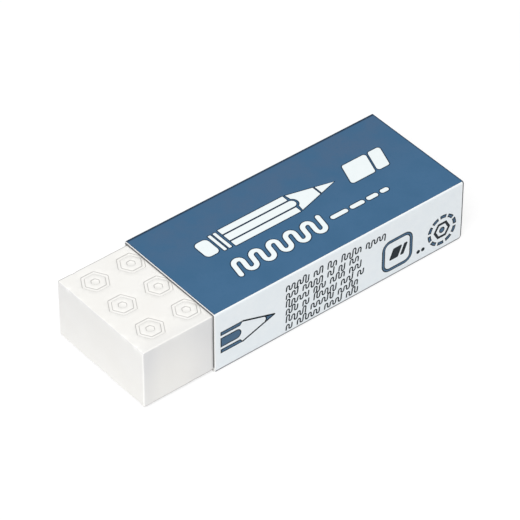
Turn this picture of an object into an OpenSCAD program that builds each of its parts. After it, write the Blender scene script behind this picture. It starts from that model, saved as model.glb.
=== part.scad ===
// Plastic eraser: a white vinyl block that slides in a folded and glued card sleeve.
// X runs along the block, from the bare working end (-X) to the covered end (+X).
// -Y is the front narrow side, and the sleeve's underside lies on Z = 0.
// The origin is the middle of the underside.

/* [Block] */
// Length of the block
block_l = 65; // [60:0.5:80]
// Width of the block
block_w = 21.9; // [20:0.1:28]
// Height of the block
block_h = 11.3; // [9:0.1:16]
// Radius of the block's softened edges
edge_r = 0.4; // [0.2:0.05:1]

/* [Pressed pattern on the block's top] */
// Depth of the pattern
press_depth = 0.15; // [0.05:0.01:0.3]
// Size of one motif, from corner to corner
motif_d = 5; // [3:0.1:6]
// Width of a motif's hexagonal groove
groove_w = 0.6; // [0.3:0.05:0.9]
// Size of the small hexagon in the middle of a motif
lead_d = 1.5; // [0.8:0.1:2]
// Distance between motifs along the block
motif_step_x = 7; // [6.2:0.1:10]
// Distance between motifs across the block
motif_step_y = 7; // [6.2:0.1:10]
// Least width left plain along the top's borders
motif_border = 1.4; // [1.2:0.1:4]

/* [Card sleeve] */
// Length of the sleeve
sleeve_l = 51.3; // [30:0.1:58]
// Thickness of the card
card_t = 0.25; // [0.15:0.01:0.5]
// Inside radius of a fold
fold_r = 0.2; // [0.05:0.01:0.3]
// Clearance between the card and the block, on each side
slide_clearance = 0.12; // [0.05:0.01:0.2]
// Height of the glue flap, from the underside to its free edge
flap_h = 8.8; // [4:0.1:9]
// Height of the back panel's free edge above the flap's fold
seam_rise = 0.15; // [0.05:0.05:2]

/* [Hidden] */
$fn = 48;

// The back narrow side is two cards thick: the panel, and the flap inside it.
sleeve_w = block_w + 2 * slide_clearance + 3 * card_t;
sleeve_h = block_h + 2 * slide_clearance + 2 * card_t;
fold_outer_r = fold_r + card_t;

// The covered end of the block is flush with the sleeve.
sleeve_x = block_l / 2 - sleeve_l;
block_y = -sleeve_w / 2 + card_t + slide_clearance + block_w / 2;
block_z = card_t + slide_clearance;

// As many motifs as the top holds inside its plain border, centred on it.
motif_cols = 1 + floor((block_l - 2 * motif_border - motif_d) / motif_step_x);
motif_rows = 1 + floor((block_w - 2 * motif_border - motif_d) / motif_step_y);

// How far a cutting or trimming shape runs past the face that it goes through
over = 1;

module rounded_rect(w, h, r) {
    square([w - 2 * r, h], center = true);
    square([w, h - 2 * r], center = true);
    for (sx = [-1, 1], sy = [-1, 1])
        translate([sx * (w / 2 - r), sy * (h / 2 - r)])
            circle(r);
}

// A rounded rectangle made into a prism that is centred on the origin
module rounded_prism(w, h, r, length) {
    translate([0, 0, -length / 2])
        linear_extrude(length)
            rounded_rect(w, h, r);
}

// A box whose twelve edges are all rounded: three prisms, one along each axis, meet in it
module soft_box(l, w, h, r) {
    intersection() {
        rounded_prism(l, w, r, h + 2 * over);
        rotate([90, 0, 0])
            rounded_prism(l, h, r, w + 2 * over);
        rotate([90, 0, 90])
            rounded_prism(w, h, r, l + 2 * over);
    }
}

// One motif, a pencil seen end on: a hexagonal groove round a small hexagon
module motif() {
    difference() {
        circle(d = motif_d, $fn = 6);
        circle(d = motif_d - 2 * groove_w, $fn = 6);
    }
    circle(d = lead_d, $fn = 6);
}

module motif_grid() {
    for (col = [0 : motif_cols - 1], row = [0 : motif_rows - 1])
        translate([(col - (motif_cols - 1) / 2) * motif_step_x,
                   (row - (motif_rows - 1) / 2) * motif_step_y])
            motif();
}

module eraser_block() {
    color([0.96, 0.96, 0.94])
        translate([0, block_y, block_z])
            difference() {
                translate([0, 0, block_h / 2])
                    soft_box(block_l, block_w, block_h, edge_r);
                translate([0, 0, block_h - press_depth])
                    linear_extrude(press_depth + over)
                        motif_grid();
            }
}

// The section of a card tube with a folded corner at each edge, standing on the underside
module card_tube(w) {
    translate([0, sleeve_h / 2])
        difference() {
            rounded_rect(w, sleeve_h, fold_outer_r);
            rounded_rect(w - 2 * card_t, sleeve_h - 2 * card_t, fold_r);
        }
}

// The folded strip: from the flap's free edge down to the underside, round the front and the
// top, and down the back to the seam. The flap's fold is set in by one card.
module sleeve_section() {
    back_y = sleeve_w / 2 - card_t - fold_outer_r;
    difference() {
        card_tube(sleeve_w);
        translate([back_y, -over])
            square([fold_outer_r + card_t + over, fold_outer_r + seam_rise + over]);
    }
    difference() {
        translate([-card_t / 2, 0])
            card_tube(sleeve_w - card_t);
        translate([back_y, flap_h])
            square([fold_outer_r + over, sleeve_h - flap_h + over]);
    }
}

module sleeve() {
    color([0.29, 0.43, 0.55])
        translate([sleeve_x, 0, 0])
            rotate([90, 0, 90])
                linear_extrude(sleeve_l)
                    sleeve_section();
}

eraser_block();
sleeve();
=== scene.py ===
"""A white vinyl eraser block in a folded, printed card sleeve: its looks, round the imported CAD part.

Lengths are in millimetres in the part's own frame, and turn into metres where a mesh, the camera or a lamp is
made. The block's top is +Z, the sleeve's front narrow side faces -Y, and the bare working end is at -X.
"""

import math
import random

import bmesh
import bpy
from mathutils import Matrix, Vector, noise
from mathutils.geometry import delaunay_2d_cdt


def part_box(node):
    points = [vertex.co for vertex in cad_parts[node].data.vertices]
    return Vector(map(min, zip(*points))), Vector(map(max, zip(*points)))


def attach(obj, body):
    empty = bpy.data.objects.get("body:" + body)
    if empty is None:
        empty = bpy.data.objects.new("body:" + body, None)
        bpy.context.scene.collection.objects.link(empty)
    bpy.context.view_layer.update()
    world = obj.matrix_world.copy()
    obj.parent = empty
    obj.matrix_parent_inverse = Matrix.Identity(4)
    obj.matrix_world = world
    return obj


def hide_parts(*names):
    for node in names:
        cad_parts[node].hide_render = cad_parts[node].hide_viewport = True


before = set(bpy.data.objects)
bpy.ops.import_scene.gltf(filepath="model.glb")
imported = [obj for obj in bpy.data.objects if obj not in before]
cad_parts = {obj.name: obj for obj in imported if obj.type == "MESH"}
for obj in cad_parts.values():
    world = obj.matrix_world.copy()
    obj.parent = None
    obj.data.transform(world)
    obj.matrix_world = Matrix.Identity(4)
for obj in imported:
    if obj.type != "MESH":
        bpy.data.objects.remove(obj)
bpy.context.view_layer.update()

MM = 0.001

# The two solids' boxes, in millimetres
BLOCK_LOW, BLOCK_HIGH = (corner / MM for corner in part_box("eraser_block"))
BLOCK_MID = (BLOCK_LOW + BLOCK_HIGH) / 2
BLOCK_SIZE = BLOCK_HIGH - BLOCK_LOW
SLEEVE_LOW, SLEEVE_HIGH = (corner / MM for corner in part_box("sleeve"))

# The camera, as the photograph's edges fix it
CAMERA_PLACE = Vector((-259.10, -318.21, 360.84))
CAMERA_AIM = Vector((-0.76, -0.28, 6.0))
CAMERA_ROLL = math.radians(0.008)
CAMERA_LENS = 235.44
CAMERA_SENSOR = 36.0

# The block's rounded edges and upright corners, and how finely they are cut
EDGE_R = 0.2
CORNER_R = 0.25
ARC_STEPS = 6
RIM_STEP = 0.3
# Where the rings down the block's sides lie, as shares of the way down: closest near the rounded edges
WALL_SHARES = (0.012, 0.05, 0.12, 0.25, 0.4, 0.55, 0.7, 0.82, 0.91, 0.96, 0.988)

# The pressed pattern: hexagonal grooves, each round a small hexagon. PRESS_SLOPE is half a wall's width.
PRESS_DEPTH = 0.14
PRESS_SLOPE = 0.1
MOTIF_R = 2.5
GROOVE_W = 0.6
LEAD_R = 0.75
MOTIF_ROUND = 0.18
MOTIF_STEP = 7.0
MOTIF_COLS = 9
MOTIF_ROWS = 3

# How far a slow swell and a finer ripple draw the block's faces in, and how wide a border they do it in
SWELL = 0.05
RIPPLE = 0.035
SOFT_BORDER = 2.5

# The card. The folds' radius is the inside one, and the flap stands this clear of the back panel.
CARD_T = 0.25
FOLD_R = 0.14
FLAP_H = 8.8
FLAP_CLEAR = 0.012
SEAM_RISE = 0.15
CUT_BEVEL = 0.03
# The card's face lies CARD_SKIN inside the solid's box, and the films of print lie in between, one on another
FILM = 0.01
CARD_SKIN = 2 * FILM

# The dark sheet of painted shadow at the mouth: how far it stands off the card's inside, is sunk into the
# card, stands out of the mouth, and goes in
SHADOW_T = 0.07
SHADOW_SUNK = 0.03
SHADOW_PROUD = 0.16
SHADOW_BACK = 0.5


# ---------------- small helpers

def smooth(low, high, value):
    """0 below low, 1 above high, and an S-curve between them."""
    t = min(1.0, max(0.0, (value - low) / (high - low)))
    return t * t * (3 - 2 * t)


def on_circle(centre, radius, degrees):
    """The point of a circle at a turn from +X."""
    angle = math.radians(degrees)
    return Vector((centre[0] + radius * math.cos(angle), centre[1] + radius * math.sin(angle)))


def arc(centre, radius, turn_from, turn_to, steps):
    """Points along an arc, both ends included."""
    sweep = turn_to - turn_from
    return [on_circle(centre, radius, turn_from + sweep * step / steps) for step in range(steps + 1)]


def polygon(centre, radius, sides):
    """An even polygon with a corner on +X, or a circle if it has many sides."""
    return arc(centre, radius, 0, 360, sides)[:-1]


def bar_faces(first, count):
    """The faces of a closed bar with four points at each of count stations, numbered from first on."""
    last = first + 4 * (count - 1)
    faces = [(first, first + 1, first + 2, first + 3), (last + 3, last + 2, last + 1, last)]
    for base in range(first, last, 4):
        for a, b in ((0, 1), (1, 2), (2, 3), (3, 0)):
            faces.append((base + a, base + b, base + b + 4, base + a + 4))
    return faces


def add_object(name, data):
    """An object of that data, in the scene."""
    made = bpy.data.objects.new(name, data)
    bpy.context.scene.collection.objects.link(made)
    return made


def make_piece(name, points, faces, materials, body, face_materials=None, sharp=35.0):
    """A mesh from points in millimetres, with smooth faces and hard edges where they turn sharply."""
    mesh = bpy.data.meshes.new(name)
    mesh.from_pydata([Vector(p) * MM for p in points], [], faces)
    for each in materials:
        mesh.materials.append(each)
    if face_materials:
        mesh.polygons.foreach_set("material_index", face_materials)
    shaped = bmesh.new()
    shaped.from_mesh(mesh)
    bmesh.ops.recalc_face_normals(shaped, faces=shaped.faces)
    for face in shaped.faces:
        face.smooth = True
    for edge in shaped.edges:
        edge.smooth = edge.calc_face_angle(0.0) < math.radians(sharp)
    shaped.to_mesh(mesh)
    shaped.free()
    piece = add_object(name, mesh)
    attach(piece, body)
    return piece


def set_attribute(piece, name, values):
    """A number at each of the piece's points, for its material to read."""
    attribute = piece.data.attributes.new(name, "FLOAT", "POINT")
    attribute.data.foreach_set("value", values)


# ---------------- materials

class Finish:
    """A material in the making: one Principled shader, and the nodes that feed it."""

    def __init__(self, name, **uniform):
        self.material = bpy.data.materials.new(name)
        self.material.use_nodes = True
        self.tree = self.material.node_tree
        self.shader = self.tree.nodes["Principled BSDF"]
        for socket, value in uniform.items():
            self.shader.inputs[socket.replace("_", " ")].default_value = value
        self.place = self.tree.nodes.new("ShaderNodeTexCoord").outputs["Object"]

    def link(self, source, target):
        self.tree.links.new(source, target)

    def noise(self, size, detail=3.0, stretch=(1, 1, 1)):
        """Soft noise from 0 to 1, with features about size millimetres across."""
        mapping = self.tree.nodes.new("ShaderNodeMapping")
        mapping.inputs["Scale"].default_value = [s / (size * MM) for s in stretch]
        texture = self.tree.nodes.new("ShaderNodeTexNoise")
        texture.inputs["Scale"].default_value = 1.0
        texture.inputs["Detail"].default_value = detail
        self.link(self.place, mapping.inputs["Vector"])
        self.link(mapping.outputs["Vector"], texture.inputs["Vector"])
        return texture.outputs["Fac"]

    def spread(self, value, low, high, to_low=0.0, to_high=1.0):
        """Maps value's range low to high onto to_low to to_high, in an S-curve held at both ends."""
        node = self.tree.nodes.new("ShaderNodeMapRange")
        node.interpolation_type = "SMOOTHSTEP"
        for socket, number in zip(("From Min", "From Max", "To Min", "To Max"), (low, high, to_low, to_high)):
            node.inputs[socket].default_value = number
        self.link(value, node.inputs["Value"])
        return node.outputs["Result"]

    def attribute(self, name):
        """The number that set_attribute gave each point, or 0 where it gave none."""
        node = self.tree.nodes.new("ShaderNodeAttribute")
        node.attribute_name = name
        return node.outputs["Fac"]

    def times(self, first, second):
        node = self.tree.nodes.new("ShaderNodeMath")
        node.operation = "MULTIPLY"
        self.link(first, node.inputs[0])
        self.link(second, node.inputs[1])
        return node.outputs["Value"]

    def axis(self, name):
        """The place along X, Y or Z, in metres."""
        node = self.tree.nodes.new("ShaderNodeSeparateXYZ")
        self.link(self.place, node.inputs["Vector"])
        return node.outputs[name]

    def mix(self, amount, first, second):
        """first where amount is 0 and second where it is 1. Each is a colour or a node's output."""
        node = self.tree.nodes.new("ShaderNodeMix")
        node.data_type = "RGBA"
        self.link(amount, node.inputs["Factor"])
        for socket, colour in ((node.inputs["A"], first), (node.inputs["B"], second)):
            if isinstance(colour, tuple):
                socket.default_value = (*colour, 1.0)
            else:
                self.link(colour, socket)
        return node.outputs["Result"]

    def bump(self, height, depth, below=None):
        """A relief depth millimetres high, over another one where below is given."""
        node = self.tree.nodes.new("ShaderNodeBump")
        node.inputs["Strength"].default_value = 1.0
        node.inputs["Distance"].default_value = depth * MM
        self.link(height, node.inputs["Height"])
        if below is not None:
            self.link(below, node.inputs["Normal"])
        return node.outputs["Normal"]

    def wear(self, colour=None, roughness=None, normal=None):
        """Gives the shader its colour, roughness and relief."""
        for socket, source in (("Base Color", colour), ("Roughness", roughness), ("Normal", normal)):
            if source is not None:
                self.link(source, self.shader.inputs[socket])
        return self.material

    def wear_coated(self, colour):
        """Gives the shader a colour, and the sheen and fibres of coated card."""
        fibre = self.noise(0.18, stretch=(0.5, 1, 1))
        return self.wear(colour, self.spread(fibre, 0.2, 0.8, 0.45, 0.55), self.bump(fibre, 0.003))


# The block's colours
VINYL_WHITE = (0.906, 0.896, 0.868)
VINYL_WARM = (0.895, 0.883, 0.850)
# Painted shade in the pattern's walls and along two of the block's edges
VINYL_LINE_SHADE = (0.30, 0.297, 0.285)
# Painted shade on the block's upright faces, the top's front border and the rounded edges under the top
VINYL_FACE_SHADE = (0.750, 0.750, 0.752)
# Painted highlight on the working end's front upright corner
VINYL_HIGHLIGHT = (0.975, 0.965, 0.945)

# The inks' colours
INK_BLUE = (0.050, 0.140, 0.264)
INK_BLUE_DEEP = (0.042, 0.128, 0.244)
# Painted shade: the top's blue turns to this towards the back
INK_BLUE_BACK_SHADE = (0.060, 0.128, 0.230)
# The ink's dark edge, also used as painted shade along the sleeve's back top fold
INK_RIM = (0.008, 0.030, 0.065)
INK_SIDE = (0.067, 0.140, 0.235)
INK_SIDE_DEEP = (0.060, 0.126, 0.212)
INK_DARK = (0.007, 0.014, 0.021)
INK_DARK_DEEP = (0.006, 0.012, 0.018)
PRINT_WHITE = (0.885, 0.945, 0.955)
PRINT_WHITE_DEEP = (0.865, 0.93, 0.94)

# The card's colours
CARD_WHITE = (0.838, 0.884, 0.912)
CARD_WHITE_DEEP = (0.815, 0.865, 0.900)
# Painted highlight on the top front fold and near the cut ends
CARD_HIGHLIGHT = (0.88, 0.91, 0.925)
BOARD_EDGE = (0.95, 0.96, 0.96)
BOARD_EDGE_GREY = (0.88, 0.89, 0.89)
BOARD_INSIDE = (0.50, 0.48, 0.44)
BOARD_FLECK = (0.36, 0.34, 0.30)
# Painted shade on the low front fold and along the covered end
CARD_EDGE_SHADE = (0.12, 0.125, 0.135)
# Painted shadow in the gap at the sleeve's mouth
MOUTH_SHADOW = (0.05, 0.05, 0.055)

# How much of the grey the pattern's walls and two of the block's edges take on, as painted shade
LINE_SHADE_MAX = 0.76


def vinyl_finish():
    """White vinyl: cloudy, with painted highlight on a corner, and painted shade on its faces, edges and
    pattern's walls.
    """
    finish = Finish("vinyl_white", Specular_IOR_Level=0.35)
    cloud = finish.spread(finish.noise(6.0, 4.0), 0.35, 0.65)
    colour = finish.mix(cloud, VINYL_WHITE, VINYL_WARM)
    # Painted highlight on the working end's front upright corner
    colour = finish.mix(finish.attribute("painted_corner_highlight"), colour, VINYL_HIGHLIGHT)
    # Painted shade on the faces and the rounded edges
    colour = finish.mix(finish.attribute("painted_face_shade"), colour, VINYL_FACE_SHADE)
    # Painted shade in the pattern's walls and along two edges
    grey = finish.spread(finish.attribute("painted_line_shade"), 0.0, 1.0, 0.0, LINE_SHADE_MAX)
    colour = finish.mix(grey, colour, VINYL_LINE_SHADE)
    grain = finish.bump(finish.noise(0.25), 0.006)
    relief = finish.bump(finish.noise(2.2, 2.0), 0.02, below=grain)
    return finish.wear(colour, finish.spread(cloud, 0.0, 1.0, 0.5, 0.62), relief)


def ink_finish(name, ink, deep, back_shade=None):
    """Printed ink: mottled, and darker at its rims. Where a back colour is given, painted shade makes it
    darker and greyer towards the back.
    """
    finish = Finish(name, Specular_IOR_Level=0.15)
    colour = ink
    if back_shade:
        # Painted shade towards the back
        colour = finish.mix(finish.spread(finish.axis("Y"), -6 * MM, 9 * MM), ink, back_shade)
    colour = finish.mix(finish.spread(finish.noise(5.0, 8.0), 0.3, 0.75), colour, deep)
    colour = finish.mix(finish.spread(finish.noise(0.7, 4.0), 0.5, 0.8, 0.0, 0.6), colour, deep)
    # The rim is the ink's dark edge, and painted shade along the sleeve's back top fold
    colour = finish.mix(finish.attribute("rim"), colour, INK_RIM)
    return finish.wear_coated(colour)


def card_finish(name, white, deep):
    """Coated white card, with painted highlight along its top front fold and near its cut ends, and painted
    shade along its low front fold and covered end.
    """
    finish = Finish(name, Specular_IOR_Level=0.15)
    colour = finish.mix(finish.spread(finish.noise(1.5, 5.0), 0.3, 0.7), white, deep)
    # Painted highlight
    colour = finish.mix(finish.attribute("bare"), colour, CARD_HIGHLIGHT)
    # Painted shade
    colour = finish.mix(finish.attribute("painted_edge_shade"), colour, CARD_EDGE_SHADE)
    return finish.wear_coated(colour)


def edge_finish():
    """The card's cut edge: pale layers of pulp."""
    finish = Finish("card_cut_edge", Specular_IOR_Level=0.2, Roughness=0.8)
    layers = finish.noise(0.12, 4.0)
    colour = finish.mix(finish.spread(layers, 0.35, 0.75), BOARD_EDGE, BOARD_EDGE_GREY)
    return finish.wear(colour, normal=finish.bump(layers, 0.01))


def inside_finish():
    """The card's uncoated inside: grey board with flecks."""
    finish = Finish("card_inside", Specular_IOR_Level=0.2, Roughness=0.85)
    flecks = finish.noise(0.35, 6.0, (0.4, 1, 1))
    colour = finish.mix(finish.spread(flecks, 0.5, 0.75), BOARD_INSIDE, BOARD_FLECK)
    return finish.wear(colour, normal=finish.bump(flecks, 0.008))


def mouth_shadow_finish():
    """A sheet of painted shadow for the gap between card and block at the mouth: grey, and pale at its foot.
    """
    finish = Finish("mouth_shadow_sheet", Specular_IOR_Level=0.2, Roughness=0.85)
    front, foot = BLOCK_LOW.y, BLOCK_LOW.z
    across = finish.spread(finish.axis("Y"), (front + 0.05) * MM, (front + 0.5) * MM, 0.88, 0.90)
    up = finish.spread(finish.axis("Z"), (foot + 0.3) * MM, (foot + 0.9) * MM, 0.2, 1.0)
    grey = finish.times(across, up)
    colour = finish.mix(grey, VINYL_WHITE, MOUTH_SHADOW)
    return finish.wear(colour, normal=finish.bump(finish.noise(0.18), 0.003))


# ---------------- the block

def plan_ring(inset):
    """The block's rounded outline seen from above, drawn in by inset, with the same points at each inset."""
    steps_x, steps_y = (round((length - 2 * CORNER_R) / RIM_STEP) for length in BLOCK_SIZE.xy)
    radius = CORNER_R - inset
    low, high = BLOCK_LOW, BLOCK_HIGH
    corners = (
        (high.x - CORNER_R, low.y + CORNER_R, -90, steps_y),
        (high.x - CORNER_R, high.y - CORNER_R, 0, steps_x),
        (low.x + CORNER_R, high.y - CORNER_R, 90, steps_y),
        (low.x + CORNER_R, low.y + CORNER_R, 180, steps_x),
    )
    points = []
    for index, (x, y, turn, steps) in enumerate(corners):
        points += arc((x, y), radius, turn, turn + 90, ARC_STEPS)
        next_x, next_y, next_turn, _ = corners[(index + 1) % 4]
        start, end = points[-1], on_circle((next_x, next_y), radius, next_turn)
        points += [start.lerp(end, step / steps) for step in range(1, steps)]
    return points


def block_levels():
    """(inset, height) of each ring round the block, from the top's border to the underside's."""
    turns = [math.radians(90 * step / ARC_STEPS) for step in range(ARC_STEPS + 1)]
    top = [(EDGE_R * (1 - math.sin(a)), BLOCK_HIGH.z - EDGE_R * (1 - math.cos(a))) for a in turns]
    under = [(inset, BLOCK_LOW.z + BLOCK_HIGH.z - z) for inset, z in reversed(top)]
    wall_top, wall_low = top[-1][1], under[0][1]
    return top + [(0.0, wall_top + (wall_low - wall_top) * share) for share in WALL_SHARES] + under


def hexagon_distance(x, y, flat_reach):
    """Signed distance from a hexagon that has corners on the X axis, negative inside."""
    x, y = abs(x), abs(y)
    fold = 2 * min(0.0, -math.sqrt(3) / 2 * x + y / 2)
    x, y = x + fold * math.sqrt(3) / 2, y - fold / 2
    half_side = flat_reach / math.sqrt(3)
    x, y = x - min(half_side, max(-half_side, x)), y - flat_reach
    return math.hypot(x, y) * (1 if y > 0 else -1)


def apothem(corner_radius):
    """How far a hexagon's sides are from its middle."""
    return corner_radius * math.cos(math.radians(30))


def motif_centre(col, row):
    return (BLOCK_MID.x + (col - (MOTIF_COLS - 1) / 2) * MOTIF_STEP,
            BLOCK_MID.y + (row - (MOTIF_ROWS - 1) / 2) * MOTIF_STEP)


def motif_centres():
    return [motif_centre(col, row) for col in range(MOTIF_COLS) for row in range(MOTIF_ROWS)]


def pressed_share(x, y):
    """How far the top is pressed in at a place, from 0 to 1."""
    col = round((x - BLOCK_MID.x) / MOTIF_STEP + (MOTIF_COLS - 1) / 2)
    row = round((y - BLOCK_MID.y) / MOTIF_STEP + (MOTIF_ROWS - 1) / 2)
    if not (0 <= col < MOTIF_COLS and 0 <= row < MOTIF_ROWS):
        return 0.0
    centre_x, centre_y = motif_centre(col, row)

    def inside(corner_radius):
        distance = hexagon_distance(x - centre_x, y - centre_y, apothem(corner_radius) - MOTIF_ROUND)
        return smooth(-PRESS_SLOPE, PRESS_SLOPE, MOTIF_ROUND - distance)

    return inside(MOTIF_R) * (1 - inside(MOTIF_R - GROOVE_W)) + inside(LEAD_R)


def top_patch(border):
    """Points and triangles of the block's flat top, dense along the walls of the pressed pattern."""
    points, edges = [], []

    def loop(ring):
        first = len(points)
        points.extend(ring)
        edges.extend((first + i, first + (i + 1) % len(ring)) for i in range(len(ring)))

    def hexagon(centre, flat_reach, around=48):
        """Points all round a hexagon with its corners on the X axis."""
        turns = [360 * step / around for step in range(around)]
        return [on_circle(centre, flat_reach / math.cos(math.radians(t % 60 - 30)), t) for t in turns]

    loop(border)
    loop(inset_rectangle(EDGE_R + 0.12))
    for centre in motif_centres():
        for corner_radius in (MOTIF_R, MOTIF_R - GROOVE_W, LEAD_R):
            for offset in (-1.0, -0.4, 0.4, 1.0):
                loop(hexagon(centre, apothem(corner_radius) + offset * PRESS_SLOPE))
    points += open_ground()
    inside_loops, merge_distance = 1, 1e-5
    made = delaunay_2d_cdt(points, edges, [], inside_loops, merge_distance)
    return [Vector(p) for p in made[0]], [tuple(f) for f in made[2]]


def inset_rectangle(inset, spacing=0.4):
    """A closed ring of points about spacing apart, inset from the block's sides."""
    low_x, high_x = BLOCK_LOW.x + inset, BLOCK_HIGH.x - inset
    low_y, high_y = BLOCK_LOW.y + inset, BLOCK_HIGH.y - inset
    corners = [Vector(c) for c in ((low_x, low_y), (high_x, low_y), (high_x, high_y), (low_x, high_y))]
    points = []
    for index, start in enumerate(corners):
        end = corners[(index + 1) % 4]
        steps = round((end - start).length / spacing)
        points += [start.lerp(end, step / steps) for step in range(steps)]
    return points


def open_ground(border=1, clear=0.35):
    """Points a millimetre apart on the plain parts of the top, clear of the pattern's walls."""
    points = []
    cols, rows = (int(length - 2 * border) for length in BLOCK_SIZE.xy)
    centres = motif_centres()
    for col in range(cols + 1):
        for row in range(rows + 1):
            x, y = BLOCK_LOW.x + border + col, BLOCK_LOW.y + border + row
            near = min(centres, key=lambda c: (c[0] - x) ** 2 + (c[1] - y) ** 2)
            if hexagon_distance(x - near[0], y - near[1], apothem(MOTIF_R)) > clear:
                points.append(Vector((x, y)))
    return points


def make_nicks():
    """Small dents along the block's edges: (place, radius, depth), most of them at the working end."""
    draw = random.Random(11)
    low, high = BLOCK_LOW, BLOCK_HIGH
    nicks = []

    def add(place, radii, depths):
        nicks.append((Vector(place), draw.uniform(*radii), draw.uniform(*depths)))

    # Round the working end, along the block, along the working end's top edge, and round the far end
    for _ in range(16):
        add((low.x, draw.uniform(low.y, high.y), draw.choice((low.z, high.z))), (0.4, 1.1), (0.04, 0.12))
    for _ in range(22):
        x = draw.uniform(low.x, high.x)
        add((x, draw.choice((low.y, high.y)), draw.choice((low.z, high.z))), (0.4, 1.0), (0.03, 0.08))
    for _ in range(14):
        add((low.x, draw.uniform(low.y, high.y), high.z), (0.4, 0.8), (0.07, 0.14))
    for _ in range(6):
        add((high.x, draw.uniform(low.y, high.y), draw.choice((low.z, high.z))), (0.4, 0.9), (0.03, 0.08))
    return nicks


def waviness(point, pitch, shift):
    """Soft noise from 0 to 1 that turns over about 1 / pitch millimetres."""
    return 0.5 + 0.5 * noise.noise(Vector(point) * pitch + Vector(shift))


def soften(point, nicks):
    """The exact block's point, drawn in a little as cut vinyl is: wavy towards its edges, and dented."""
    inward = Vector((0, 0, 0))
    for axis in range(3):
        off = point[axis] - BLOCK_MID[axis]
        half = BLOCK_SIZE[axis] / 2
        swell = waviness(point, 0.22, (17.0 * axis, 5.0, 3.0 + math.copysign(9, off)))
        ripple = waviness(point, 0.75, (41.0 * axis, 8.0, math.copysign(5, off)))
        depth = smooth(half - SOFT_BORDER, half, abs(off)) * (SWELL * swell + RIPPLE * ripple)
        inward[axis] -= math.copysign(depth, off)
    for centre, radius, depth in nicks:
        near = 1 - smooth(0, radius, (point - centre).length)
        if near > 0:
            inward += dent_direction(centre) * depth * near
    return point + inward


def dent_direction(centre):
    """From an edge's point straight into the block, square to the edge."""
    inward = Vector((0, 0, 0))
    for axis in range(3):
        off = centre[axis] - BLOCK_MID[axis]
        if abs(abs(off) - BLOCK_SIZE[axis] / 2) < 1e-3:
            inward[axis] = -math.copysign(1, off)
    return inward.normalized()


def wear_corner(point):
    """Rounds the end face's corner at the back of the underside, which the photo shows worn."""
    radius = 1.1
    share = 1 - smooth(0.5, 4.0, point.x - BLOCK_LOW.x)
    centre = Vector((point.x, BLOCK_HIGH.y - radius, BLOCK_LOW.z + radius))
    off = point - centre
    if share > 0 and off.y > 0 and off.z < 0 and off.length > radius:
        return point.lerp(centre + off.normalized() * radius, share)
    return point


def face_shade_share(point):
    """How much painted shade a place on the block's upright faces takes, from 0 to 1.

    The rounded edges under the top have none at their upper side and more lower down, which dims their
    highlight. The narrow sides are shaded most near the mouth, and not at all further in under the sleeve.
    The ends are shaded most at the top and the back.
    """
    above_low, below_high = point - BLOCK_LOW, BLOCK_HIGH - point
    off_x, off_y, off_z = (min(above_low[axis], below_high[axis]) for axis in range(3))
    height, back = above_low.z / BLOCK_SIZE.z, above_low.y / BLOCK_SIZE.y
    if height > 0.5 and off_z < 0.99 * EDGE_R:
        turned = off_z / EDGE_R
        if point.x < 0 and off_x < min(EDGE_R, off_y):
            return smooth(0.0, 0.45, turned) * (0.7 + 0.3 * smooth(0.05, 0.5, back))
        if point.y < 0 and off_y < EDGE_R:
            return 0.8 * smooth(0.1, 0.7, turned)
        return 0.0
    above_foot = smooth(0.1, 0.3, above_low.z)
    if off_y < 0.05 < off_x:
        mouth = SLEEVE_LOW.x
        along = above_low.x / (mouth - BLOCK_LOW.x)
        upper = 0.42 * smooth(0.3, 1.0, height)
        near_mouth = 0.58 * smooth(0.5, 1.0, along)
        near_corner = (0.3 + 0.3 * height) * (1 - smooth(0.0, 0.3, along))
        covered = smooth(mouth, mouth + 7, point.x)
        return above_foot * (0.2 + upper + near_mouth + near_corner) * (1 - covered)
    if off_x < 0.05 < off_y:
        return above_foot * (0.3 * height + 0.15 * back + 0.2 * height * back)
    return 0.0


def corner_highlight_share(point):
    """How much painted highlight the working end's front upright corner takes, from 0 to 1."""
    off_x, off_y = point.x - BLOCK_LOW.x, point.y - BLOCK_LOW.y
    if off_x < CORNER_R and off_y < CORNER_R:
        return smooth(0.0, 0.06, min(off_x, off_y) + 0.03)
    return 0.0


def edge_shade_share(point):
    """How much painted shade the block's lower front edge and upper back edge take, the lower one more
    towards the mouth.
    """
    low_front = point.z < BLOCK_LOW.z + 1.1 * EDGE_R and point.y < BLOCK_LOW.y + EDGE_R
    high_back = point.z > BLOCK_HIGH.z - EDGE_R and point.y > BLOCK_HIGH.y - 1.1 * EDGE_R
    if low_front:
        return 0.5 + 0.3 * smooth(BLOCK_LOW.x, SLEEVE_LOW.x, point.x)
    return 0.75 if high_back else 0.0


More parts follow.
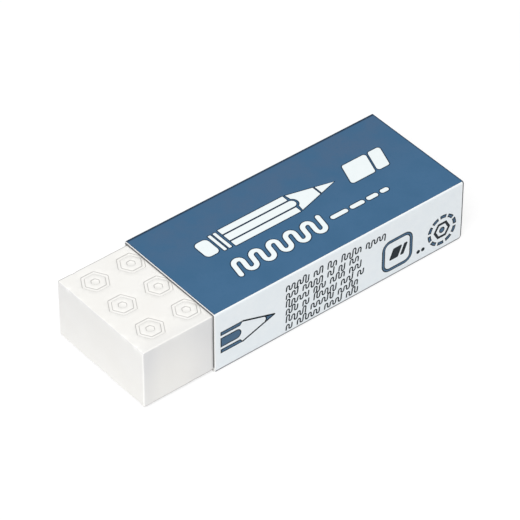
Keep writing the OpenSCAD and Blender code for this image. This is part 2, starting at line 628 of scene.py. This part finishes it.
def make_block(material):
    """The block: rings round its sides, a dense patch for the pressed top, and one face underneath."""
    rings = [[Vector((p.x, p.y, height)) for p in plan_ring(inset)] for inset, height in block_levels()]
    points = [p for ring in rings for p in ring]
    # Painted shade along two edges and in the pattern's walls, painted shade over the faces, painted
    # highlight on a corner
    painted_line_shade = [edge_shade_share(p) for p in points]
    painted_face_shade = [face_shade_share(p) for p in points]
    painted_corner_highlight = [corner_highlight_share(p) for p in points]
    faces = []
    count = len(rings[0])
    lowest = (len(rings) - 1) * count
    for start in range(0, lowest, count):
        for i in range(count):
            j = (i + 1) % count
            faces.append((start + i, start + j, start + count + j, start + count + i))
    flat, triangles = top_patch([Vector((p.x, p.y)) for p in rings[0]])
    first = len(points)
    for p in flat:
        share = pressed_share(p.x, p.y)
        points.append(Vector((p.x, p.y, BLOCK_HIGH.z - PRESS_DEPTH * share)))
        # Painted shade, greyest half way down the pattern's walls
        painted_line_shade.append(max(4 * share * (1 - share), edge_shade_share(points[-1])))
        # Painted shade on the top, darkest along its front border
        painted_face_shade.append(0.3 * (1 - smooth(0.3, 3.0, p.y - BLOCK_LOW.y)))
        painted_corner_highlight.append(0.0)
    faces += [tuple(first + i for i in triangle) for triangle in triangles]
    faces.append(tuple(range(lowest, lowest + count)))

    nicks = make_nicks()
    points = [wear_corner(soften(p, nicks)) for p in points]
    merged = bmesh.new()
    shares = {"painted_line_shade": painted_line_shade, "painted_face_shade": painted_face_shade, "painted_corner_highlight": painted_corner_highlight}
    layers = {name: merged.verts.layers.float.new(name) for name in shares}
    made = [merged.verts.new(p) for p in points]
    for name, values in shares.items():
        for vertex, value in zip(made, values):
            vertex[layers[name]] = value
    for face in faces:
        merged.faces.new([made[i] for i in face])
    bmesh.ops.remove_doubles(merged, verts=merged.verts, dist=1e-4)
    bmesh.ops.triangulate(merged, faces=[f for f in merged.faces if len(f.verts) > 4])
    merged.verts.ensure_lookup_table()
    merged.verts.index_update()
    points = [v.co.copy() for v in merged.verts]
    kept = {name: [v[layer] for v in merged.verts] for name, layer in layers.items()}
    faces = [tuple(v.index for v in f.verts) for f in merged.faces]
    merged.free()
    piece = make_piece("block_vinyl", points, faces, [material], "block", sharp=80.0)
    for name, values in kept.items():
        set_attribute(piece, name, values)
    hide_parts("eraser_block")


# ---------------- the sleeve

FOLD_MID = FOLD_R + CARD_T / 2
FOLD_OUT = FOLD_R + CARD_T
FOLD_STEPS = 8
# How many of a fold's steps the blue field reaches round the front edges
BLUE_TURN = 2


def strip_stations():
    """The folded strip's middle line as (place, outward normal, kind), from the flap's edge to the seam's.

    A place is (y, z). The kind names the panel or fold that the stretch up to the next station belongs to.
    """
    front, back = SLEEVE_LOW.y, SLEEVE_HIGH.y
    top = SLEEVE_HIGH.z
    front_c, back_c, flap_c = front + FOLD_OUT, back - FOLD_OUT, back - CARD_T - FOLD_OUT
    low_c, high_c = FOLD_OUT, top - FOLD_OUT
    stations = []

    def straight(start, end, normal, kind):
        start, end = Vector(start), Vector(end)
        length = (end - start).length
        # Closer together beside the folds, to keep their shading off the flat panels
        for along in (0.0, 0.1, 0.35, length / 3, 2 * length / 3, length - 0.35, length - 0.1):
            stations.append((start.lerp(end, along / length), Vector(normal), kind))

    def fold(centre, turn_from, turn_to, kind):
        for step in range(FOLD_STEPS):
            normal = on_circle((0, 0), 1, turn_from + (turn_to - turn_from) * step / FOLD_STEPS)
            stations.append((Vector(centre) + normal * FOLD_MID, normal, f"{kind}.{step}"))

    straight((flap_c + FOLD_MID, FLAP_H), (flap_c + FOLD_MID, low_c), (1, 0), "flap")
    fold((flap_c, low_c), 0, -90, "flap_fold")
    straight((flap_c, CARD_T / 2), (front_c, CARD_T / 2), (0, -1), "underside")
    fold((front_c, low_c), -90, -180, "low_front_fold")
    straight((front + CARD_T / 2, low_c), (front + CARD_T / 2, high_c), (-1, 0), "front")
    fold((front_c, high_c), 180, 90, "top_front_fold")
    straight((front_c, top - CARD_T / 2), (back_c, top - CARD_T / 2), (0, 1), "top")
    fold((back_c, high_c), 90, 0, "top_back_fold")
    seam = low_c + SEAM_RISE
    straight((back - CARD_T / 2, high_c), (back - CARD_T / 2, seam), (1, 0), "back")
    stations.append((Vector((back - CARD_T / 2, seam)), Vector((1, 0)), "end"))
    return stations


def is_blue(kind):
    """Whether the blue field covers the stretch that starts at a station of this kind."""
    panel, _, step = kind.partition(".")
    if panel in ("top_front_fold", "flap_fold"):
        return int(step) >= FOLD_STEPS - BLUE_TURN
    if panel == "low_front_fold":
        return int(step) < BLUE_TURN
    return panel in ("top", "underside", "top_back_fold")


def numbers_of(stations, panel):
    """The numbers of one panel's or fold's stations."""
    return [i for i, (_, _, kind) in enumerate(stations) if kind.startswith(panel)]


def bare_share(kind):
    """How much painted highlight a station takes: along the upper half of the top front fold."""
    panel, _, step = kind.partition(".")
    return smooth(1, 5, int(step)) if panel == "top_front_fold" else 0.0


def worn_back(from_end, place):
    """How far the covered end's lower front corner is crushed back along X, at a place of the strip."""
    depth, reach_across, reach_along = 0.7, 1.1, 1.2
    from_fold = max(place.x - SLEEVE_LOW.y, place.y - SLEEVE_LOW.z)
    return depth * max(0.0, 1 - from_fold / reach_across) ** 2 * max(0.0, 1 - from_end / reach_along)


def sleeve_cuts(length):
    """The sleeve's cross-sections, each as (from the mouth, shrunk by, ink rim, painted highlight, painted
    shade).
    """
    trim, rim = 0.06, 0.16
    return (
        (0.0, CUT_BEVEL, 0, 1, 0),
        (CUT_BEVEL, 0.0, 0, 1, 0),
        (trim, 0.0, 1, 1, 0),
        (trim + rim, 0.0, 0, 0.4, 0),
        (1.0, 0.0, 0, 0, 0),
        (length / 2, 0.0, 0, 0, 0),
        (length - 1.2, 0.0, 0, 0, 0),
        (length - 0.6, 0.0, 0, 0, 0),
        (length - 0.45, 0.0, 0, 1, 0),
        (length - 0.3, 0.0, 0, 1, 0),
        (length - 0.2, 0.0, 0.7, 0, 1),
        (length - CUT_BEVEL, 0.0, 1, 0, 1),
        (length, CUT_BEVEL, 1, 0, 1),
    )


# The sleeve's materials, in their order
BLUE, WHITE, INSIDE, EDGE = range(4)


def make_sleeve(blue, white, inside, edge):
    """The strip, extruded along X with its real thickness, and a hair of bevel where it was cut."""
    stations = strip_stations()
    count = len(stations)
    length = SLEEVE_HIGH.x - SLEEVE_LOW.x
    cuts = sleeve_cuts(length)
    blue_at = [is_blue(kind) for _, _, kind in stations]
    # Painted shade on the low front fold, as on the covered end's last cuts
    edge_shaded = numbers_of(stations, "low_front_fold")
    edge_shaded.append(edge_shaded[-1] + 1)
    # Painted shade along the top's back fold, in the ink's dark rim
    shaded = numbers_of(stations, "top_back_fold")
    shaded.append(shaded[0] - 1)
    # The strip's two long edges are bevelled too: the flap's edge faces up, and the seam's down
    pulls = {0: -1, count - 1: 1}
    points, rims, bares, edge_shades = [], [], [], []
    for x, shrink, cut_rim, cut_bare, cut_shade in cuts:
        for side in (1, -1):
            for index, (place, normal, kind) in enumerate(stations):
                reach = CARD_T / 2 - shrink - (CARD_SKIN if side > 0 else 0.0)
                if kind == "flap" and side > 0:
                    reach -= FLAP_CLEAR
                pull = Vector((0, shrink * pulls.get(index, 0)))
                point = place + pull + normal * reach * side
                back = worn_back(length - x, place)
                points.append(Vector((SLEEVE_LOW.x + x - back, point.x, point.y)))
                border = index > 0 and blue_at[index] != blue_at[index - 1]
                rims.append(1.0 if border or index in shaded else cut_rim)
                # Painted highlight on the top front fold and near the cut ends
                bares.append(max(cut_bare, bare_share(kind)))
                edge_shades.append(max(cut_shade, 1.0 if index in edge_shaded else 0.0))
    faces, finishes = [], []

    def add(face, finish):
        faces.append(face)
        finishes.append(finish)

    per_cut = 2 * count
    for level in range(len(cuts) - 1):
        here, there = level * per_cut, (level + 1) * per_cut
        bevel = level in (0, len(cuts) - 2)
        for i in range(count - 1):
            printed = BLUE if blue_at[i] and level > 1 else WHITE
            add((here + i, here + i + 1, there + i + 1, there + i), EDGE if bevel else printed)
            j = count + i
            add((here + j + 1, here + j, there + j, there + j + 1), EDGE if bevel else INSIDE)
        for i in (0, count - 1):
            add((here + i, there + i, there + count + i, here + count + i), EDGE)
    for base in (0, (len(cuts) - 1) * per_cut):
        for i in range(count - 1):
            add((base + i, base + count + i, base + count + i + 1, base + i + 1), EDGE)
    piece = make_piece("card_sleeve", points, faces, [blue, white, inside, edge], "sleeve", finishes)
    for name, values in (("rim", rims), ("bare", bares), ("painted_edge_shade", edge_shades)):
        set_attribute(piece, name, values)
    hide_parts("sleeve")


def make_mouth_shadow(material):
    """A thin dark sheet of painted shadow inside the card, which stands a hair proud of the cut at the mouth.

    It runs from the flap's edge to the back of the top. The back panel has none, as the flap lies inside it.
    """
    stations = strip_stations()
    last = numbers_of(stations, "top_back_fold")[0]
    inner, outer = -CARD_T / 2 - SHADOW_T, SHADOW_SUNK - CARD_T / 2
    points = []
    for place, normal, _ in stations[:last + 1]:
        for x, reach in ((-SHADOW_PROUD, outer), (SHADOW_BACK, outer), (SHADOW_BACK, inner), (-SHADOW_PROUD, inner)):
            spot = place + normal * reach
            points.append(Vector((SLEEVE_LOW.x + x, spot.x, spot.y)))
    make_piece("mouth_shadow_sheet", points, bar_faces(0, last + 1), [material], "sleeve")


# ---------------- print

class Film:
    """A thin closed film of ink on one of the sleeve's faces, made of outlines in that face's own plane.

    On the top, an outline's coordinates are (from the mouth, from the front edge). On the front side they are
    (from the mouth, above the underside).
    """

    def __init__(self, face, layer=1):
        self.face = face
        self.layer = layer
        self.points = []
        self.faces = []

    def lift(self, place, side):
        """A point of the film's outer (side 1) or sunk (side 0) surface."""
        depth = CARD_SKIN - FILM * (self.layer if side else -1)
        if self.face == "top":
            return Vector((SLEEVE_LOW.x + place[0], SLEEVE_LOW.y + place[1], SLEEVE_HIGH.z - depth))
        return Vector((SLEEVE_LOW.x + place[0], SLEEVE_LOW.y + depth, place[1]))

    def shape(self, outline):
        """A filled outline."""
        first, count = len(self.points), len(outline)
        for side in (1, 0):
            self.points += [self.lift(p, side) for p in outline]
        self.faces.append(tuple(range(first, first + count)))
        self.faces.append(tuple(range(first + 2 * count - 1, first + count - 1, -1)))
        for i in range(count):
            j = (i + 1) % count
            self.faces.append((first + i, first + j, first + count + j, first + count + i))

    def band(self, outer, inner):
        """The closed band between two outlines that have as many points as each other."""
        first, count = len(self.points), len(outer)
        for side in (1, 0):
            for outline in (outer, inner):
                self.points += [self.lift(p, side) for p in outline]
        for i in range(count):
            j = (i + 1) % count
            loops = [first + k * count for k in (0, 1, 3, 2)]
            for a, b in zip(loops, loops[1:] + loops[:1]):
                self.faces.append((a + i, a + j, b + j, b + i))

    def ribbon(self, pairs):
        """A line given by the (right, left) pairs of points across it."""
        self.faces += bar_faces(len(self.points), len(pairs))
        for right, left in pairs:
            self.points += [self.lift(right, 1), self.lift(left, 1), self.lift(left, 0), self.lift(right, 0)]

    def piece(self, name, material):
        make_piece(name, self.points, self.faces, [material], "sleeve")


def rounded(corners, radius, steps=5):
    """A counter-clockwise convex polygon with its corners rounded."""
    made = []
    for i, corner in enumerate(corners):
        here = Vector(corner)
        before = (Vector(corners[i - 1]) - here).normalized()
        after = (Vector(corners[(i + 1) % len(corners)]) - here).normalized()
        half = before.angle(after) / 2
        centre = here + (before + after).normalized() * (radius / math.sin(half))
        start = here + before * (radius / math.tan(half)) - centre
        sweep = math.pi - 2 * half
        for step in range(steps + 1):
            made.append(centre + Matrix.Rotation(sweep * step / steps, 2) @ start)
    return made


def plain(*corners):
    """An outline with sharp corners."""
    return [Vector(corner) for corner in corners]


def box(left, low, right, high, radius, lean=0.0):
    """A box with rounded corners, and its top shifted to the right by lean."""
    return rounded([(left, low), (right, low), (right + lean, high), (left + lean, high)], radius)


def tongue(left, right, mid, half, steps):
    """A bar that reaches half up and down from mid, with a half circle for its right end."""
    return plain((left, mid - half)) + arc((right, mid), half, -90, 90, steps) + plain((left, mid + half))


def stroke(path, width, steps=4):
    """The (right, left) pairs of points across a line of even width along a path, with round ends."""
    path = [Vector(p) for p in path]
    last = len(path) - 1
    turns = [math.radians(85 - 85 * step / steps) for step in range(steps)]
    pairs = []
    for i, here in enumerate(path):
        ahead = (path[min(i + 1, last)] - path[max(i - 1, 0)]).normalized() * (width / 2)
        across = Vector((-ahead.y, ahead.x))
        spots = [(here, 1.0)]
        if i == 0:
            spots = [(here - ahead * math.sin(a), math.cos(a)) for a in turns] + spots
        if i == last:
            spots += [(here + ahead * math.sin(a), math.cos(a)) for a in reversed(turns)]
        pairs += [(spot - across * share, spot + across * share) for spot, share in spots]
    return pairs


def grown(shape, reach):
    """A counter-clockwise outline moved out by reach all round."""
    made = []
    for i, here in enumerate(shape):
        into = (here - shape[i - 1]).normalized()
        out = (shape[(i + 1) % len(shape)] - here).normalized()
        outwards = Vector((out.y, -out.x))
        mitre = (Vector((into.y, -into.x)) + outwards).normalized()
        made.append(here + mitre * (reach / max(0.5, mitre.dot(outwards))))
    return made


def pencil_shapes():
    """The top's pencil: an end cap, a ferrule's two bars, three facets, the sharpened cone and its lead."""
    mid, tall, facet, gap = 13.2, 2.35, 0.75, 0.35
    body, neck, lead, tip = 12.9, 26.2, 31.6, 35.0
    slope = tall / (tip - neck)

    def cone(x, side):
        """The cone's lower (side -1) or upper (side 1) border at x."""
        return Vector((x, mid + side * slope * (tip - x)))

    shapes = [box(7.6, mid - 1.9, 10.2, mid + 1.9, 0.8)]
    shapes += [box(left, mid - 2.15, left + 0.55, mid + 2.15, 0.12) for left in (10.75, 11.75)]
    wood = [cone(neck + 0.5, -1), cone(lead - 0.25, -1), cone(lead - 0.25, 1), cone(neck + 0.5, 1)]
    return shapes + [
        box(body, mid + facet + gap, neck, mid + tall, 0.1),
        box(body, mid - tall, neck, mid - facet - gap, 0.1),
        tongue(body, neck, mid, facet, 10),
        wood + arc((neck + 0.1, mid), 1.2, 62, -62, 12),
        [cone(lead + 0.15, -1), cone(tip, 1), cone(lead + 0.15, 1)],
    ]


def meander(left, spacing, heights, lean, steps):
    """Upright strokes joined by half circles. heights says where the line starts, turns and ends."""
    path = []
    radius = spacing / 2
    last = len(heights) - 2
    for i, (here, there) in enumerate(zip(heights, heights[1:])):
        x, way = left + i * spacing, math.copysign(1.0, there - here)
        path.append(Vector((x, here + (way * radius if i else 0.0))))
        path.append(Vector((x, there - (way * radius if i < last else 0.0))))
        if i < last:
            path += arc((x + radius, there - way * radius), radius, 180, 180 - way * 180, steps)[1:-1]
    return [Vector((p.x + lean * (p.y - heights[0]), p.y)) for p in path]


def dash_paths():
    """What is left of the pencil's line past the place where it was rubbed out."""
    left, height, gap = 29.2, 6.5, 1.45
    paths = []
    for length in (2.6, 2.0, 1.4, 0.8):
        paths.append([(left, height), (left + length, height)])
        left += length + gap
    return paths


def print_top(white, rim):
    """White shapes on the blue, each over a hair of the darker ink that was squeezed to its edge."""
    squeeze, line = 0.19, 0.85
    wave = meander(9.2, 1.75, [4.9, 8.1] * 6, 0.2, 10)
    rubber = [box(left, 10.95, right, 15.45, 0.45, lean=1.6) for left, right in ((36.9, 41.9), (42.4, 44.9))]
    groups = {
        "pencil": (pencil_shapes(), []),
        "eraser": (rubber, []),
        "line": ([], [wave] + dash_paths()),
    }
    for name, (shapes, paths) in groups.items():
        under, over = Film("top", 1), Film("top", 2)
        for shape in shapes:
            under.shape(grown(shape, squeeze))
            over.shape(shape)
        for path in paths:
            under.ribbon(stroke(path, line + 2 * squeeze))
            over.ribbon(stroke(path, line))
        under.piece(f"print_top_{name}_rim", rim)
        over.piece(f"print_top_{name}", white)


def print_side(name, shapes, ink, rim, edge=0.2):
    """Filled shapes on the front side, in ink over a darker edge of their own."""
    under, over = Film("front", 1), Film("front", 2)
    for shape in shapes:
        under.shape(shape)
        over.shape(grown(shape, -edge))
    under.piece(f"print_side_{name}_rim", rim)
    over.piece(f"print_side_{name}", ink)


def print_side_pencil(ink, rim):
    """A pencil's point: three facets with scalloped ends, the cone's outline and a lead."""
    left, neck, lead, tip = 1.1, 4.9, 9.9, 12.0
    mid, tall, facet, gap = 5.7, 2.2, 0.95, 0.45
    low, high = mid - facet - gap, mid + facet + gap
    reach = tall * (tip - lead) / (tip - neck - 0.7)
    scallop = arc((lead - 0.3, mid), 0.55, 50, -50, 6)
    shapes = [
        plain((left, high), (neck + 0.1, high), (neck + 0.75, mid + tall), (left, mid + tall)),
        plain((left, mid - tall), (neck + 0.75, mid - tall), (neck + 0.1, low), (left, low)),
        tongue(left, neck - 0.6, mid, facet, 12),
        plain((lead, mid - reach), (tip, mid), (lead, mid + reach)) + scallop,
    ]
    print_side("pencil", shapes, ink, rim)
    cone = Film("front")
    for side in (1, -1):
        cone.ribbon(stroke([(neck + 0.7, mid + side * (tall - 0.12)), (tip - 0.1, mid)], 0.32))
    cone.piece("print_side_cone", rim)


# Distance between a scribble's upright strokes
SCRIBBLE_STEP = 0.56


def scribble(draw, left, low, strokes):
    """A word's worth of up-and-down line, in the place of small print."""
    tops, feet = (0.95, 0.95, 0.95, 1.35), (0.0, 0.0, 0.0, 0.0, -0.35)
    heights = [low] + [low + draw.choice(feet if i % 2 else tops) for i in range(strokes)]
    return meander(left, SCRIBBLE_STEP, heights, 0.1, 4)


def print_side_lines(ink):
    """Six rows of scribble, standing in for small print."""
    draw = random.Random(23)
    film = Film("front")
    first, pitch, left, line, word_gap = 9.0, 1.62, 14.3, 0.27, 0.6
    for row in range(6):
        right = 35.4 if row == 0 else draw.uniform(29.3, 31.2)
        at = left
        while at < right - 1.2:
            strokes = min(draw.randint(3, 9), int((right - at) / SCRIBBLE_STEP))
            film.ribbon(stroke(scribble(draw, at, first - row * pitch, strokes), line, 2))
            at += strokes * SCRIBBLE_STEP + word_gap
    film.piece("print_side_lines", ink)


def print_side_frame(ink, rim):
    """A rounded frame round a small leaning eraser."""
    width, edge, outer_r, inner_r = 0.66, 0.18, 1.7, 1.0

    def ring(inset, radius):
        return box(34.1 + inset, 1.4 + inset, 40.6 - inset, 7.9 - inset, radius)

    under, over = Film("front", 1), Film("front", 2)
    under.band(ring(0.0, outer_r), ring(width, inner_r))
    over.band(ring(edge, outer_r - edge), ring(width - edge, inner_r + edge))
    for left, right in ((35.6, 37.5), (37.9, 38.7)):
        under.shape(box(left, 3.6, right, 5.8, 0.22, lean=0.9))
    under.piece("print_side_frame_rim", rim)
    over.piece("print_side_frame", ink)


def print_side_round(ink, rim):
    """A ring of dashes round a pencil seen end on, and two dots beside it."""
    centre, outer, width, dashes, dash_turn = (46.9, 4.2), 3.05, 0.68, 10, 27
    shapes = []
    for dash in range(dashes):
        turn = 360 * dash / dashes
        end = turn + dash_turn
        shapes.append(arc(centre, outer, turn, end, 4) + arc(centre, outer - width, end, turn, 4))
    shapes.append(polygon(centre, 0.6, 20))
    print_side("ring", shapes, ink, rim)
    film = Film("front")
    film.band(polygon(centre, 1.8, 6), polygon(centre, 1.25, 6))
    for x in (41.9, 42.9):
        film.shape(polygon((x, 2.2), 0.38, 16))
    film.piece("print_side_round", rim)


# ---------------- the studio

# The floor where it lights the object, and where it is seen: a diffuse part and an even glow
FLOOR_PALE = 0.82
FLOOR_SEEN = 0.34
FLOOR_GLOW = 0.70
# The room's strength where it lights the object, and where it is seen
ROOM_LIGHT = 0.52
ROOM_SEEN = 1.0


def choose_by_ray(tree, lighting, seen, output):
    """Ends a node tree: seen for rays from the camera, mirrored or let through, and lighting for others."""
    path = tree.nodes.new("ShaderNodeLightPath")
    is_seen = path.outputs["Is Camera Ray"]
    for kind in ("Is Glossy Ray", "Is Transmission Ray"):
        either = tree.nodes.new("ShaderNodeMath")
        either.operation = "MAXIMUM"
        tree.links.new(is_seen, either.inputs[0])
        tree.links.new(path.outputs[kind], either.inputs[1])
        is_seen = either.outputs["Value"]
    choose = tree.nodes.new("ShaderNodeMixShader")
    tree.links.new(is_seen, choose.inputs["Fac"])
    tree.links.new(lighting, choose.inputs[1])
    tree.links.new(seen, choose.inputs[2])
    tree.links.new(choose.outputs["Shader"], tree.nodes.new(output).inputs["Surface"])


def make_floor():
    """A plain pale floor. The camera sees it near white, with the object's own soft shadow on it."""
    material = bpy.data.materials.new("studio_floor")
    material.use_nodes = True
    tree = material.node_tree
    tree.nodes.clear()
    pale, seen = (tree.nodes.new("ShaderNodeBsdfDiffuse") for _ in range(2))
    pale.inputs["Color"].default_value = (FLOOR_PALE, FLOOR_PALE, FLOOR_PALE, 1)
    seen.inputs["Color"].default_value = (FLOOR_SEEN, FLOOR_SEEN, FLOOR_SEEN, 1)
    glow = tree.nodes.new("ShaderNodeEmission")
    glow.inputs["Strength"].default_value = FLOOR_GLOW
    both = tree.nodes.new("ShaderNodeAddShader")
    tree.links.new(seen.outputs["BSDF"], both.inputs[0])
    tree.links.new(glow.outputs["Emission"], both.inputs[1])
    choose_by_ray(tree, pale.outputs["BSDF"], both.outputs["Shader"], "ShaderNodeOutputMaterial")
    half = 2.0
    mesh = bpy.data.meshes.new("studio_floor")
    corners = [(-half, -half, 0), (half, -half, 0), (half, half, 0), (-half, half, 0)]
    mesh.from_pydata(corners, [], [(0, 1, 2, 3)])
    mesh.materials.append(material)
    add_object("studio_floor", mesh)


def make_world():
    """A pale room: white where it is seen or mirrored, and softer where it lights the object."""
    world = bpy.data.worlds.new("studio")
    bpy.context.scene.world = world
    world.use_nodes = True
    tree = world.node_tree
    tree.nodes.clear()
    light, seen = (tree.nodes.new("ShaderNodeBackground") for _ in range(2))
    for node, strength in ((light, ROOM_LIGHT), (seen, ROOM_SEEN)):
        node.inputs["Color"].default_value = (1, 1, 1, 1)
        node.inputs["Strength"].default_value = strength
    choose_by_ray(tree, light.outputs["Background"], seen.outputs["Background"], "ShaderNodeOutputWorld")


def make_lamp(name, place, size, power):
    """A square soft box that looks at the object. Place and size in millimetres, power in watts."""
    data = bpy.data.lights.new(name, "AREA")
    data.shape = "SQUARE"
    data.size = size * MM
    data.energy = power
    lamp = add_object(name, data)
    lamp.location = Vector(place) * MM
    lamp.rotation_mode = "QUATERNION"
    lamp.rotation_quaternion = (-lamp.location).to_track_quat("-Z", "Y")


def make_camera():
    """The camera that the photograph's edges give, set as the scene's own."""
    data = bpy.data.cameras.new("camera")
    data.lens = CAMERA_LENS
    data.sensor_width = CAMERA_SENSOR
    data.clip_start = 0.05
    data.clip_end = 20.0
    camera = add_object("camera", data)
    forward = (CAMERA_AIM - CAMERA_PLACE).normalized()
    level = forward.cross(Vector((0, 0, 1))).normalized()
    upright = level.cross(forward)
    right = level * math.cos(CAMERA_ROLL) + upright * math.sin(CAMERA_ROLL)
    up = right.cross(forward)
    turn = Matrix((right, up, -forward)).transposed()
    camera.matrix_world = Matrix.Translation(CAMERA_PLACE * MM) @ turn.to_4x4()
    bpy.context.scene.camera = camera


bpy.context.scene.view_settings.view_transform = "Standard"
make_camera()
make_world()
make_floor()
make_lamp("key", place=(-465, -350, 776), size=620, power=6.5)

make_block(vinyl_finish())
make_sleeve(
    ink_finish("blue_ink", INK_BLUE, INK_BLUE_DEEP, INK_BLUE_BACK_SHADE),
    card_finish("white_card", CARD_WHITE, CARD_WHITE_DEEP),
    inside_finish(),
    edge_finish(),
)
make_mouth_shadow(mouth_shadow_finish())
print_top(
    card_finish("white_print", PRINT_WHITE, PRINT_WHITE_DEEP),
    ink_finish("blue_ink_edge", INK_RIM, INK_RIM),
)
dark_ink = ink_finish("dark_ink", INK_DARK, INK_DARK_DEEP)
side_ink = ink_finish("side_ink", INK_SIDE, INK_SIDE_DEEP)
print_side_pencil(side_ink, dark_ink)
print_side_lines(dark_ink)
print_side_frame(side_ink, dark_ink)
print_side_round(side_ink, dark_ink)
